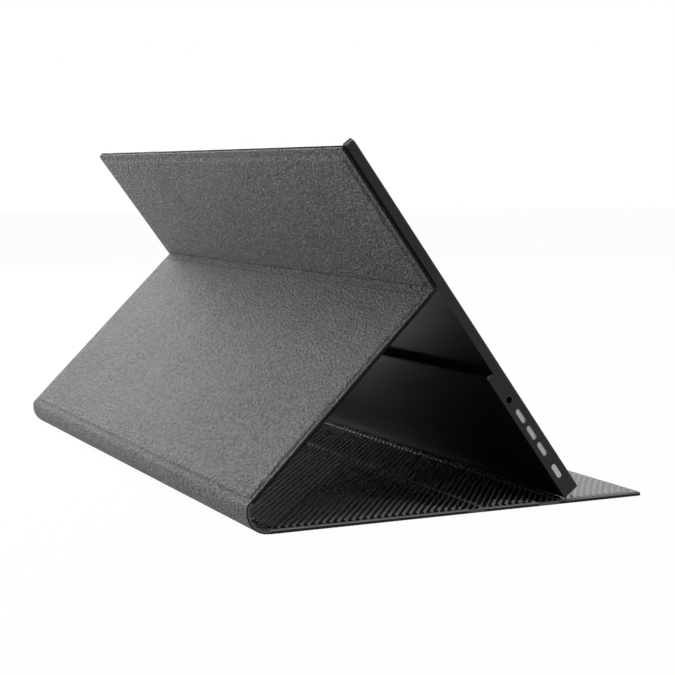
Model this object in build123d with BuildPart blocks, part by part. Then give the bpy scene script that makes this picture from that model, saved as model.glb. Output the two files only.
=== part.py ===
from build123d import *
import os
from math import atan2, cos, hypot, radians, sin

# A portable monitor that stands in its folding cover. Millimetres, +Z up.
# X runs along the folds, -Y is the side that the screen faces, +Y is the side of the strut.
# The origin is on the table, at the centre of the footprint.

# ---- Driving dimensions of the monitor -------------------------------------------------------
MONITOR_WIDTH = 356.0
MONITOR_HEIGHT = 215.5
THIN_DEPTH = 5.1           # upper part, front face to back face
THICK_DEPTH = 9.2          # lower housing, front face to back face
HOUSING_HEIGHT = 79.5      # how far the thick housing reaches up the back
MONITOR_LEAN = 53.0        # degrees between the screen and the table
CORNER_RADIUS = 3.0        # top corners of the shell and of the housing's ledge
FOOT_RADIUS = 0.8          # bottom corners, which stand on the cover
SHELL_WALL = 1.4
SHELL_BACK = 1.0
EDGE_BREAK = 0.5           # chamfer round the back edges

SIDE_BORDER = 5.9          # active area to the side edges; it is 15.6 inches across its corners
TOP_BORDER = 6.5
BOTTOM_BORDER = 15.4
BEZEL_DEPTH = 0.6
BEZEL_OVERLAP = 0.4        # how far the bezel's window stands clear of the active area

CELL_MARGIN = 2.9          # glass past the active area on the sides and top
CELL_CHIN = 6.5            # glass past the active area at the bottom
CELL_DEPTH = 0.8
FILMS_DEPTH = 0.25
GUIDE_DEPTH = 0.8
REFLECTOR_DEPTH = 0.2
TRAY_SHEET = 0.3
TRAY_WALL = 0.4
TRAY_RISE = 1.9            # tray wall above the tray's sheet
STACK_INSET = 0.6          # films, guide and reflector inside the glass's outline
LED_STRIP_INSET = 6.0      # its ends inside the glass's sides
LED_STRIP = (2.0, 0.75)    # width and depth
SOURCE_BOARD_INSET = 58.0  # its ends inside the monitor's sides
SOURCE_BOARD = (4.4, 1.1)
SOURCE_BOARD_Y = 4.6

# ---- Near side of the monitor: distances up from the bottom edge -----------------------------
JACK_AT = 62.7
USB_AT = (51.6, 40.7, 29.9)
LIGHT_AT = 22.7
BUTTON_AT = 15.2
PORT_DEPTH = 5.25          # centre of the sockets and the button behind the front face
JACK_DEPTH = 5.75
LIGHT_DEPTH = 4.75
USB_SIZE = (9.0, 3.1)      # outside of a socket's steel shell
USB_SHEET = 0.3
USB_LENGTH = 7.4
USB_TONGUE = (6.7, 0.8, 4.6)
USB_TONGUE_SETBACK = 0.9
JACK_BORE = 1.8            # radius
JACK_LENGTH = 15.0
JACK_END = 0.8             # closed end of the jack's bore
JACK_BODY = (6.2, 4.6)
JACK_SLEEVE = 2.25         # outer radius of the sleeve in the side wall
LIGHT_RADIUS = 0.65
LIGHT_LENGTH = 3.0
BUTTON_SIZE = (8.2, 2.6)
BUTTON_TRAVEL = 0.4
BUTTON_FLANGE = (11.0, 4.2, 0.7)
BUTTON_STEM = 1.2

# ---- Electronics in the housing --------------------------------------------------------------
BOARD_SIZE = (73.0, 66.0)
BOARD_THICKNESS = 1.0
BOARD_Y = 39.5             # centre of the board above the bottom edge
BOARD_BOSS = 0.3           # bosses lift the board off the shell
BOARD_SCREW = 0.7          # radius
BOARD_SCREW_HEAD = (1.6, 0.6)
BOARD_SCREW_INSET = 4.0
CHIPS = ((14.0, 14.0, 1.1, 2.0, 9.0), (9.0, 9.0, 1.0, 6.0, -8.0), (6.0, 6.0, 0.9, -6.0, -12.0),
         (4.0, 8.0, 0.9, 15.0, -4.0))     # width, height, depth, place on the board
SHIELD = (46.0, 44.0, 2.2, 0.25)          # width, height, depth, sheet
SHIELD_AT = (5.0, -1.0)
SWITCH_SIZE = (3.2, 3.6, 2.2)
SPEAKER_SIZE = (36.0, 13.0, 4.2)
SPEAKER_INSET = 98.0       # centre of a speaker inside the monitor's side
SPEAKER_SLOT = (2.6, 1.0)
SPEAKER_SLOT_PITCH = 4.0
SPEAKER_SLOTS = 8
SPEAKER_RIDGE = 0.3
CABLE_WIDTH = 22.0
CABLE_SHEET = 0.3
CABLE_OFFSET = 3.0         # its edge past the middle of the main board
MAGNET_SIZE = (24.0, 9.0)
MONITOR_MAGNET_DEPTH = 1.0
MAGNET_INSETS = (38.0, 128.0)      # centres inside the monitor's sides
MAGNET_ROW_ABOVE_FOLD = 17.0
MAGNET_ROW_BELOW_TOP = 15.5
PAD_WIDTH = 8.0
PAD_INSET = 15.0           # its ends inside the glass's sides
PAD_ABOVE_HOUSING = 15.5

# ---- Driving dimensions of the cover ---------------------------------------------------------
COVER_MARGIN = 0.0         # cover past the monitor's sides
COVER_DEPTH = 221.7        # front edge to the back of the spine, on the table
FLAT_SHEET = 0.6           # sheet on the flat side of a panel
BOARD_SHEET = 1.3          # stiff board between the two sheets
RAISED_SHEET = 0.7         # sheet over the board
RIM_DEPTH = 1.8            # both sheets pressed together, round a board and at a fold
UPPER_RIM = (3.4, 3.0)     # flat rim at a free edge and the slope up from it to the raised face
STRUT_RIM = (1.8, 2.5)
FRONT_RIM = (2.2, 1.8)
FOLD_INSET = 0.3           # rim left at an edge that meets a fold
BOARD_INSET = 1.0          # board inside the foot of the slope
COVER_CORNER = 2.5         # free corners of the upper panel
FRONT_CORNER = 0.8         # free corners of the front panels
SPINE_RADIUS = 11.0        # outside of the rounded spine
SPINE_SKIN = 1.0
SPINE_HEIGHT = 13.6        # where the spine turns into the strut
SPINE_BEND = 2.5           # radius of that turn
FOOT_SETBACK = 46.9        # cover's front edge to the monitor's bottom edge
FOLD_HEIGHT = 132.2        # fold behind the monitor, up from the monitor's bottom edge
UPPER_TOP_SETBACK = 0.8    # upper panel's edge below the monitor's top
UPPER_START = 1.2          # upper panel begins this far above the fold
STRUT_START = 4.2          # strut panel begins this far below the fold
STRUT_END = 2.2            # strut panel ends this far before the spine's bend
FRONT_1_END = 12.0         # first front panel ends this far before the back of the spine
FRONT_CREASE_1 = (118.2, 8.8)    # start of the first crease before the back of the spine, width
FRONT_CREASE_2 = (158.6, 12.5)
FLAP_MAGNET_SETBACK = 9.0
COVER_MAGNET_SIZE = (24.0, 9.0)

# ---- Clearances ------------------------------------------------------------------------------
FOOT_CLEARANCE = 0.3       # monitor's bottom edge above the front panel
HOLD_CLEARANCE = 0.2       # monitor's back to the upper panel that holds it
FIT = 0.1                  # a fixed piece in its opening
BUTTON_FIT = 0.12          # button in its slot
STEM_CLEARANCE = 0.1       # button's stem above the switch when pressed

# ---- Places worked out from those sizes ------------------------------------------------------
PANEL_DEPTH = FLAT_SHEET + BOARD_SHEET + RAISED_SHEET
HALF_RIM = RIM_DEPTH / 2
COVER_WIDTH = MONITOR_WIDTH + 2 * COVER_MARGIN
STEP = THICK_DEPTH - THIN_DEPTH
SHELL_FRONT = THICK_DEPTH - BEZEL_DEPTH
BACK_Y = COVER_DEPTH / 2
FRONT_Y = -COVER_DEPTH / 2

LEAN = radians(MONITOR_LEAN)
UP = (cos(LEAN), sin(LEAN))              # up the monitor, in Y and Z
OUT = (-sin(LEAN), cos(LEAN))            # out of the screen, in Y and Z
FOOT = (FRONT_Y + FOOT_SETBACK, PANEL_DEPTH + FOOT_CLEARANCE - EDGE_BREAK * cos(LEAN))
FOLD_OUT = STEP - HOLD_CLEARANCE - HALF_RIM
FOLD = (FOOT[0] + FOLD_HEIGHT * UP[0] + FOLD_OUT * OUT[0],
        FOOT[1] + FOLD_HEIGHT * UP[1] + FOLD_OUT * OUT[1])
SPINE_BEND_AT = (BACK_Y - HALF_RIM, SPINE_HEIGHT)
STRUT_LENGTH = hypot(SPINE_BEND_AT[0] - FOLD[0], SPINE_BEND_AT[1] - FOLD[1])
STRUT_SLOPE = atan2(FOLD[1] - SPINE_BEND_AT[1], SPINE_BEND_AT[0] - FOLD[0])
DOWN = (cos(STRUT_SLOPE), -sin(STRUT_SLOPE))    # down the strut, in Y and Z
STRUT_OUT = (sin(STRUT_SLOPE), cos(STRUT_SLOPE))

SCREEN_WIDTH = MONITOR_WIDTH - 2 * SIDE_BORDER
SCREEN_TOP = MONITOR_HEIGHT - TOP_BORDER
CELL_WIDTH = SCREEN_WIDTH + 2 * CELL_MARGIN
CELL_LOW = BOTTOM_BORDER - CELL_CHIN
CELL_HIGH = SCREEN_TOP + CELL_MARGIN
CELL_BACK = SHELL_FRONT - FIT / 2 - CELL_DEPTH
FILMS_BACK = CELL_BACK - FILMS_DEPTH
GUIDE_BACK = FILMS_BACK - GUIDE_DEPTH
REFLECTOR_BACK = GUIDE_BACK - REFLECTOR_DEPTH
TRAY_BACK = REFLECTOR_BACK - TRAY_SHEET
THIN_FLOOR = STEP + SHELL_BACK           # inside face of the thin back
PORT_LEVEL = THICK_DEPTH - PORT_DEPTH    # sockets' centre above the back plane
BOARD_BACK = SHELL_BACK + BOARD_BOSS
BOARD_FACE = BOARD_BACK + BOARD_THICKNESS
BOARD_LEFT = -MONITOR_WIDTH / 2 + SHELL_WALL + FIT
BOARD_X = BOARD_LEFT + BOARD_SIZE[0] / 2
SPEAKER_X = MONITOR_WIDTH / 2 - SPEAKER_INSET
MAGNET_X = [side * (MONITOR_WIDTH / 2 - inset) for side in (-1, 1) for inset in MAGNET_INSETS]
MAGNET_Y = (FOLD_HEIGHT + MAGNET_ROW_ABOVE_FOLD, MONITOR_HEIGHT - MAGNET_ROW_BELOW_TOP)
PAD_Y = (HOUSING_HEIGHT + PAD_ABOVE_HOUSING, sum(MAGNET_Y) / 2)

# ---- Planes ----------------------------------------------------------------------------------
# On the monitor's plane, y runs up from the bottom edge and z runs from the back to the screen.
monitor_plane = Plane(origin=(0, *FOOT), x_dir=(1, 0, 0), z_dir=(0, *OUT))
screen_axis = Axis(monitor_plane.origin, monitor_plane.z_dir)
# On the near side, x runs up the monitor and y runs from the front (negative) to the back (0).
side_plane = Plane(origin=(-MONITOR_WIDTH / 2, *FOOT), x_dir=(0, *UP), z_dir=(-1, 0, 0))
bottom_plane = Plane(origin=(0, *FOOT), x_dir=(1, 0, 0), z_dir=(0, -UP[0], -UP[1]))
# On a cover panel's plane, y runs along the panel and z runs from its flat to its raised face.
front_plane = Plane.XY
upper_plane = Plane(
    origin=(0, FOLD[0] + HALF_RIM * OUT[0], FOLD[1] + HALF_RIM * OUT[1]),
    x_dir=(-1, 0, 0),
    z_dir=(0, -OUT[0], -OUT[1]),
)
strut_plane = Plane(
    origin=(0, FOLD[0] - HALF_RIM * STRUT_OUT[0], FOLD[1] - HALF_RIM * STRUT_OUT[1]),
    x_dir=(1, 0, 0),
    z_dir=(0, *STRUT_OUT),
)


def save(piece, name):
    """Labels a finished piece and writes it to its own file."""
    piece.label = name
    export_step(piece, f"parts/{name}.step")


def plate(plane, level, depth, width, low, high):
    """Adds a plate between two heights on a plane, centred on x."""
    with BuildSketch(plane.offset(level)) as area:
        with Locations((0, (low + high) / 2)):
            Rectangle(width, high - low)
    extrude(area.sketch, amount=depth)


# ---- Cover panels ----------------------------------------------------------------------------
class Panel:
    """One stiff panel of the cover: its plane, its extent, its rim and its free ends."""

    def __init__(self, plane, low, high, edge, free_low=False, free_high=False):
        self.plane, self.low, self.high = plane, low, high
        self.rim, self.slope = edge
        self.free_low, self.free_high = free_low, free_high
        self.corner = COVER_CORNER if free_high else FRONT_CORNER

    def rise(self, inset):
        """Width, low and high end of the raised area, inset from the foot of its slope."""
        low = self.low + (self.rim if self.free_low else FOLD_INSET) + inset
        high = self.high - (self.rim if self.free_high else FOLD_INSET) - inset
        return COVER_WIDTH - 2 * (self.rim + inset), low, high

    def outline(self):
        """Draws the panel's full outline, with its free corners rounded."""
        with Locations((0, (self.low + self.high) / 2)):
            Rectangle(COVER_WIDTH, self.high - self.low)
        rows = vertices().group_by(Axis.Y)
        free = (rows[0] if self.free_low else []) + (rows[-1] if self.free_high else [])
        if free:
            fillet(free, radius=self.corner)


def flat_sheet(panel):
    """The sheet on a panel's flat side."""
    with BuildPart() as sheet:
        with BuildSketch(panel.plane):
            panel.outline()
        extrude(amount=FLAT_SHEET)
    return sheet.part


def raised_sheet(panel):
    """The sheet that goes over the board and down to the pressed rim."""
    with BuildPart() as sheet:
        with BuildSketch(panel.plane.offset(FLAT_SHEET)):
            panel.outline()
        extrude(amount=RIM_DEPTH - FLAT_SHEET)
        for level, inset in ((RIM_DEPTH, 0), (PANEL_DEPTH, panel.slope)):
            width, low, high = panel.rise(inset)
            with BuildSketch(panel.plane.offset(level)):
                with Locations((0, (low + high) / 2)):
                    Rectangle(width, high - low)
        loft()
        width, low, high = panel.rise(BOARD_INSET)
        with BuildSketch(panel.plane.offset(FLAT_SHEET)):
            with Locations((0, (low + high) / 2)):
                Rectangle(width, high - low)
        extrude(amount=BOARD_SHEET, mode=Mode.SUBTRACT)
    return sheet.part


def stiff_board(panel, pockets=()):
    """The board in a panel, with a pocket through it for each magnet."""
    width, low, high = panel.rise(BOARD_INSET)
    with BuildPart() as board:
        plate(panel.plane, FLAT_SHEET, BOARD_SHEET, width - FIT, low + FIT / 2, high - FIT / 2)
        if pockets:
            with BuildSketch(panel.plane.offset(FLAT_SHEET)):
                with Locations(*pockets):
                    Rectangle(COVER_MAGNET_SIZE[0] + FIT, COVER_MAGNET_SIZE[1] + FIT)
            extrude(amount=BOARD_SHEET, mode=Mode.SUBTRACT)
    return board.part


def board_magnets(panel, places):
    """The bar magnets that lie in a board's pockets."""
    with BuildPart() as magnets:
        with BuildSketch(panel.plane.offset(FLAT_SHEET)):
            with Locations(*places):
                Rectangle(*COVER_MAGNET_SIZE)
        extrude(amount=BOARD_SHEET)
    return magnets.part


front_1 = Panel(front_plane, BACK_Y - FRONT_CREASE_1[0], BACK_Y - FRONT_1_END, FRONT_RIM)
front_2 = Panel(front_plane, BACK_Y - FRONT_CREASE_2[0],
                BACK_Y - FRONT_CREASE_1[0] - FRONT_CREASE_1[1], FRONT_RIM)
front_3 = Panel(front_plane, FRONT_Y, BACK_Y - FRONT_CREASE_2[0] - FRONT_CREASE_2[1], FRONT_RIM,
                free_low=True)
upper = Panel(upper_plane, UPPER_START, MONITOR_HEIGHT - FOLD_HEIGHT - UPPER_TOP_SETBACK,
              UPPER_RIM, free_high=True)
strut = Panel(strut_plane, STRUT_START, STRUT_LENGTH - STRUT_END, STRUT_RIM)

upper_magnet_places = [(x, y - FOLD_HEIGHT) for x in MAGNET_X for y in MAGNET_Y]
flap_magnet_places = [(x, FRONT_Y + FLAP_MAGNET_SETBACK + COVER_MAGNET_SIZE[1] / 2)
                      for x in MAGNET_X]


def turned(points, shift):
    """A line of points moved to its right by a distance, with its corners still on the line."""
    sides = []
    for (y0, z0), (y1, z1) in zip(points, points[1:]):
        length = hypot(y1 - y0, z1 - z0)
        sides.append(((z1 - z0) / length, (y0 - y1) / length))
    moved = []
    for (y, z), a, b in zip(points, [sides[0], *sides], [*sides, sides[-1]]):
        scale = shift / (1 + a[0] * b[0] + a[1] * b[1])
        moved.append((y + scale * (a[0] + b[0]), z + scale * (a[1] + b[1])))
    return moved


def band(points, radii, shift, thickness):
    """A strip as wide as the cover, along a line in Y and Z that turns left at each corner."""
    with BuildPart() as strip:
        with BuildSketch(Plane.YZ):
            with BuildLine():
                FilletPolyline(*turned(points, shift), radius=[r + shift for r in radii])
            trace(line_width=thickness)
        extrude(amount=COVER_WIDTH / 2, both=True)
    return strip.part


def spine_band(shift, thickness):
    """One sheet of the spine, from the first front panel round to the strut."""
    points = [
        (BACK_Y - FRONT_1_END, HALF_RIM),
        (BACK_Y - HALF_RIM, HALF_RIM),
        SPINE_BEND_AT,
        (SPINE_BEND_AT[0] - STRUT_END * DOWN[0], SPINE_BEND_AT[1] - STRUT_END * DOWN[1]),
    ]
    return band(points, [SPINE_RADIUS - HALF_RIM, SPINE_BEND], shift, thickness)


def fold_band():
    """The pressed strip that bends behind the monitor, from the strut up to the upper panel."""
    points = [
        (FOLD[0] + UPPER_START * UP[0], FOLD[1] + UPPER_START * UP[1]),
        FOLD,
        (FOLD[0] + STRUT_START * DOWN[0], FOLD[1] + STRUT_START * DOWN[1]),
    ]
    return band(points, [HALF_RIM + FIT], 0, RIM_DEPTH)


def crease_strip(low, high):
    """The pressed strip between two front panels."""
    with BuildPart() as strip:
        plate(front_plane, 0, RIM_DEPTH, COVER_WIDTH, low, high)
    return strip.part


def make_cover():
    """Every piece of the cover."""
    save(flat_sheet(upper), "upper_lining")
    save(stiff_board(upper, upper_magnet_places), "upper_board")
    save(board_magnets(upper, upper_magnet_places), "upper_magnets")
    save(raised_sheet(upper), "upper_skin")
    save(fold_band(), "back_fold_strip")
    save(flat_sheet(strut), "strut_lining")
    save(stiff_board(strut), "strut_board")
    save(raised_sheet(strut), "strut_skin")
    save(spine_band(HALF_RIM - SPINE_SKIN / 2, SPINE_SKIN), "spine_skin")
    save(spine_band(-SPINE_SKIN / 2, RIM_DEPTH - SPINE_SKIN), "spine_lining")
    for number, panel in enumerate((front_1, front_2, front_3), 1):
        places = flap_magnet_places if panel is front_3 else ()
        save(flat_sheet(panel), f"front_skin_{number}")
        save(stiff_board(panel, places), f"front_board_{number}")
        save(raised_sheet(panel), f"front_lining_{number}")
    save(board_magnets(front_3, flap_magnet_places), "flap_magnets")
    save(crease_strip(front_2.high, front_1.low), "crease_strip_1")
    save(crease_strip(front_3.high, front_2.low), "crease_strip_2")


# ---- Monitor ---------------------------------------------------------------------------------
board_screw_places = [
    (BOARD_X + sx * (BOARD_SIZE[0] / 2 - BOARD_SCREW_INSET),
     BOARD_Y + sy * (BOARD_SIZE[1] / 2 - BOARD_SCREW_INSET))
    for sx in (-1, 1)
    for sy in (-1, 1)
]
speaker_slot_places = [
    (side * SPEAKER_X + (i - (SPEAKER_SLOTS - 1) / 2) * SPEAKER_SLOT_PITCH, -PORT_LEVEL)
    for side in (-1, 1)
    for i in range(SPEAKER_SLOTS)
]
usb_places = [(at, -PORT_LEVEL) for at in USB_AT]
button_place = (BUTTON_AT, -PORT_LEVEL)
jack_place = (JACK_AT, JACK_DEPTH - THICK_DEPTH)
light_place = (LIGHT_AT, LIGHT_DEPTH - THICK_DEPTH)


def monitor_plate(level, depth, high):
    """Adds a plate with the monitor's width and corners, from its bottom edge up."""
    with BuildSketch(monitor_plane.offset(level)) as area:
        with Locations((0, high / 2)):
            Rectangle(MONITOR_WIDTH, high)
        fillet(vertices().group_by(Axis.Y)[-1], radius=CORNER_RADIUS)
        fillet(vertices().group_by(Axis.Y)[0], radius=FOOT_RADIUS)
    extrude(area.sketch, amount=depth)


def make_rear_shell():
    """The one-piece back of the monitor, with the thick housing at its foot."""
    inside_width = MONITOR_WIDTH - 2 * SHELL_WALL
    inside_radius = CORNER_RADIUS - SHELL_WALL
    with BuildPart() as rear_shell:
        monitor_plate(STEP, SHELL_FRONT - STEP, MONITOR_HEIGHT)
        chamfer(faces().sort_by(screen_axis)[0].edges(), EDGE_BREAK)
        monitor_plate(0, STEP + EDGE_BREAK, HOUSING_HEIGHT)
        chamfer(faces().sort_by(screen_axis)[0].edges(), EDGE_BREAK)
        with BuildSketch(monitor_plane.offset(THIN_FLOOR)):
            with Locations((0, MONITOR_HEIGHT / 2)):
                RectangleRounded(inside_width, MONITOR_HEIGHT - 2 * SHELL_WALL, inside_radius)
        extrude(amount=SHELL_FRONT - THIN_FLOOR, mode=Mode.SUBTRACT)
        with BuildSketch(monitor_plane.offset(SHELL_BACK)):
            with Locations((0, HOUSING_HEIGHT / 2)):
                RectangleRounded(inside_width, HOUSING_HEIGHT - 2 * SHELL_WALL, inside_radius)
        extrude(amount=STEP, mode=Mode.SUBTRACT)
        with BuildSketch(side_plane):
            with Locations(*usb_places):
                SlotOverall(USB_SIZE[0] + 2 * FIT, USB_SIZE[1] + 2 * FIT)
            with Locations(button_place):
                SlotOverall(BUTTON_SIZE[0] + 2 * BUTTON_FIT, BUTTON_SIZE[1] + 2 * BUTTON_FIT)
            with Locations(jack_place):
                Circle(JACK_SLEEVE + FIT)
            with Locations(light_place):
                Circle(LIGHT_RADIUS + FIT / 2)
        extrude(amount=-SHELL_WALL - FIT, mode=Mode.SUBTRACT)
        with BuildSketch(bottom_plane):
            with Locations(*[(x, -y) for x, y in speaker_slot_places]):
                SlotOverall(SPEAKER_SLOT[0], SPEAKER_SLOT[1])
        extrude(amount=-SHELL_WALL - FIT, mode=Mode.SUBTRACT)
        with BuildSketch(monitor_plane.offset(SHELL_BACK)):
            with Locations(*board_screw_places):
                Circle(BOARD_SCREW_HEAD[0])
        extrude(amount=BOARD_BOSS)
        with BuildSketch(monitor_plane.offset(SHELL_BACK / 2)):
            with Locations(*board_screw_places):
                Circle(BOARD_SCREW + FIT / 4)
        extrude(amount=SHELL_BACK / 2 + BOARD_BOSS, mode=Mode.SUBTRACT)
    save(rear_shell.part, "rear_shell")


def make_front():
    """The bezel and the display module behind it."""
    with BuildPart() as front_bezel:
        monitor_plate(SHELL_FRONT, BEZEL_DEPTH, MONITOR_HEIGHT)
        window_low = BOTTOM_BORDER - BEZEL_OVERLAP
        window_high = SCREEN_TOP + BEZEL_OVERLAP
        with BuildSketch(monitor_plane.offset(SHELL_FRONT)):
            with Locations((0, (window_low + window_high) / 2)):
                Rectangle(SCREEN_WIDTH + 2 * BEZEL_OVERLAP, window_high - window_low)
        extrude(amount=BEZEL_DEPTH, mode=Mode.SUBTRACT)
    save(front_bezel.part, "front_bezel")

    with BuildPart() as lcd_panel:
        plate(monitor_plane, CELL_BACK, CELL_DEPTH, CELL_WIDTH, CELL_LOW, CELL_HIGH)
    save(lcd_panel.part, "lcd_panel")

    stack_width = CELL_WIDTH - 2 * STACK_INSET
    stack_high = CELL_HIGH - STACK_INSET
    guide_low = CELL_LOW + STACK_INSET + LED_STRIP[0] + FIT
    with BuildPart() as optical_films:
        plate(monitor_plane, FILMS_BACK, FILMS_DEPTH, stack_width, CELL_LOW + STACK_INSET,
              stack_high)
    save(optical_films.part, "optical_films")
    with BuildPart() as light_guide:
        plate(monitor_plane, GUIDE_BACK, GUIDE_DEPTH, stack_width, guide_low, stack_high)
    save(light_guide.part, "light_guide")
    with BuildPart() as reflector:
        plate(monitor_plane, REFLECTOR_BACK, REFLECTOR_DEPTH, stack_width,
              CELL_LOW + STACK_INSET, stack_high)
    save(reflector.part, "reflector")
    with BuildPart() as led_strip:
        plate(monitor_plane, GUIDE_BACK, LED_STRIP[1], CELL_WIDTH - 2 * LED_STRIP_INSET,
              CELL_LOW + STACK_INSET, CELL_LOW + STACK_INSET + LED_STRIP[0])
    save(led_strip.part, "led_strip")

    with BuildPart() as backlight_tray:
        plate(monitor_plane, TRAY_BACK, TRAY_SHEET + TRAY_RISE, CELL_WIDTH + 2 * (FIT + TRAY_WALL),
              CELL_LOW - FIT - TRAY_WALL, CELL_HIGH + FIT + TRAY_WALL)
        with BuildSketch(monitor_plane.offset(REFLECTOR_BACK)):
            with Locations((0, (CELL_LOW + CELL_HIGH) / 2)):
                Rectangle(CELL_WIDTH + 2 * FIT, CELL_HIGH - CELL_LOW + 2 * FIT)
        extrude(amount=TRAY_RISE, mode=Mode.SUBTRACT)
    save(backlight_tray.part, "backlight_tray")

    with BuildPart() as panel_pads:
        for pad_y in PAD_Y:
            plate(monitor_plane, THIN_FLOOR, TRAY_BACK - THIN_FLOOR, CELL_WIDTH - 2 * PAD_INSET,
                  pad_y - PAD_WIDTH / 2, pad_y + PAD_WIDTH / 2)
    save(panel_pads.part, "panel_pads")

    with BuildPart() as monitor_magnets:
        with BuildSketch(monitor_plane.offset(THIN_FLOOR)):
            with Locations(*[(x, y) for x in MAGNET_X for y in MAGNET_Y]):
                Rectangle(*MAGNET_SIZE)
        extrude(amount=MONITOR_MAGNET_DEPTH)
    save(monitor_magnets.part, "monitor_magnets")

    with BuildPart() as source_board:
        plate(monitor_plane, SHELL_FRONT - FIT - SOURCE_BOARD[1], SOURCE_BOARD[1],
              MONITOR_WIDTH - 2 * SOURCE_BOARD_INSET, SOURCE_BOARD_Y - SOURCE_BOARD[0] / 2,
              SOURCE_BOARD_Y + SOURCE_BOARD[0] / 2)
    save(source_board.part, "source_board")


def make_electronics():
    """The main board and what it carries, the sockets, the speakers and the display cable."""
    with BuildPart() as main_board:
        with BuildSketch(monitor_plane.offset(BOARD_BACK)):
            with Locations((BOARD_X, BOARD_Y)):
                Rectangle(*BOARD_SIZE)
            with Locations(*board_screw_places):
                Circle(BOARD_SCREW + FIT, mode=Mode.SUBTRACT)
            for depth, width, centre in (
                (JACK_LENGTH - SHELL_WALL, JACK_BODY[0] + 2 * FIT, JACK_AT),
                (BUTTON_FLANGE[2] + BUTTON_TRAVEL + FIT, BUTTON_FLANGE[0] + 4 * FIT, BUTTON_AT),
            ):
                with Locations((BOARD_LEFT + depth / 2, centre)):
                    Rectangle(depth, width, mode=Mode.SUBTRACT)
        extrude(amount=BOARD_THICKNESS)
    save(main_board.part, "main_board")

    with BuildPart() as board_chips:
        for width, height, depth, x, y in CHIPS:
            with BuildSketch(monitor_plane.offset(BOARD_FACE)):
                with Locations((BOARD_X + x, BOARD_Y + y)):
                    Rectangle(width, height)
            extrude(amount=depth)
    save(board_chips.part, "board_chips")

    shield_centre = (BOARD_X + SHIELD_AT[0], BOARD_Y + SHIELD_AT[1])
    with BuildPart() as shield_can:
        with BuildSketch(monitor_plane.offset(BOARD_FACE)):
            with Locations(shield_centre):
                Rectangle(SHIELD[0], SHIELD[1])
        extrude(amount=SHIELD[2])
        with BuildSketch(monitor_plane.offset(BOARD_FACE)):
            with Locations(shield_centre):
                Rectangle(SHIELD[0] - 2 * SHIELD[3], SHIELD[1] - 2 * SHIELD[3])
        extrude(amount=SHIELD[2] - SHIELD[3], mode=Mode.SUBTRACT)
    save(shield_can.part, "shield_can")

    with BuildPart() as board_screws:
        with BuildSketch(monitor_plane.offset(BOARD_FACE)):
            with Locations(*board_screw_places):
                Circle(BOARD_SCREW_HEAD[0])
        extrude(amount=BOARD_SCREW_HEAD[1])
        with BuildSketch(monitor_plane.offset(SHELL_BACK / 2 + FIT)):
            with Locations(*board_screw_places):
                Circle(BOARD_SCREW)
        extrude(amount=BOARD_FACE - SHELL_BACK / 2 - FIT)
    save(board_screws.part, "board_screws")

    with BuildPart() as usb_sockets:
        with BuildSketch(side_plane):
            with Locations(*usb_places):
                SlotOverall(*USB_SIZE)
        extrude(amount=-USB_LENGTH)
        with BuildSketch(side_plane):
            with Locations(*usb_places):
                SlotOverall(USB_SIZE[0] - 2 * USB_SHEET, USB_SIZE[1] - 2 * USB_SHEET)
        extrude(amount=-USB_LENGTH + USB_SHEET, mode=Mode.SUBTRACT)
    save(usb_sockets.part, "usb_sockets")

    with BuildPart() as usb_tongues:
        with BuildSketch(side_plane.offset(-USB_LENGTH + USB_SHEET)):
            with Locations(*usb_places):
                SlotOverall(USB_SIZE[0] - 2 * USB_SHEET - FIT, USB_SIZE[1] - 2 * USB_SHEET - FIT)
        extrude(amount=USB_LENGTH - USB_SHEET - USB_TONGUE_SETBACK - USB_TONGUE[2])
        with BuildSketch(side_plane.offset(-USB_TONGUE_SETBACK - USB_TONGUE[2])):
            with Locations(*usb_places):
                Rectangle(USB_TONGUE[0], USB_TONGUE[1])
        extrude(amount=USB_TONGUE[2])
    save(usb_tongues.part, "usb_tongues")

    with BuildPart() as audio_jack:
        with BuildSketch(side_plane.offset(-SHELL_WALL - FIT)):
            with Locations(jack_place):
                Rectangle(*JACK_BODY)
        extrude(amount=-JACK_LENGTH + SHELL_WALL + FIT)
        with BuildSketch(side_plane):
            with Locations(jack_place):
                Circle(JACK_SLEEVE)
        extrude(amount=-SHELL_WALL - FIT)
        with BuildSketch(side_plane):
            with Locations(jack_place):
                Circle(JACK_BORE)
        extrude(amount=JACK_END - JACK_LENGTH, mode=Mode.SUBTRACT)
    save(audio_jack.part, "audio_jack")

    with BuildPart() as status_light:
        with BuildSketch(side_plane):
            with Locations(light_place):
                Circle(LIGHT_RADIUS)
        extrude(amount=-LIGHT_LENGTH)
    save(status_light.part, "status_light")

    flange_face = -SHELL_WALL - FIT
    stem_end = flange_face - BUTTON_FLANGE[2] - BUTTON_STEM
    with BuildPart() as power_button:
        with BuildSketch(side_plane):
            with Locations(button_place):
                SlotOverall(*BUTTON_SIZE)
        extrude(amount=flange_face)
        with BuildSketch(side_plane.offset(flange_face)):
            with Locations(button_place):
                SlotOverall(*BUTTON_FLANGE[:2])
        extrude(amount=-BUTTON_FLANGE[2])
        with BuildSketch(side_plane.offset(flange_face - BUTTON_FLANGE[2])):
            with Locations(button_place):
                Circle(BUTTON_STEM)
        extrude(amount=-BUTTON_STEM)
    save(power_button.part, "power_button")

    with BuildPart() as button_switch:
        with BuildSketch(side_plane.offset(stem_end - BUTTON_TRAVEL - STEM_CLEARANCE)):
            with Locations((BUTTON_AT, (SWITCH_SIZE[1] / 2) - BOARD_FACE - SWITCH_SIZE[1])):
                Rectangle(SWITCH_SIZE[0], SWITCH_SIZE[1])
        extrude(amount=-SWITCH_SIZE[2])
    save(button_switch.part, "button_switch")

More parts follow.
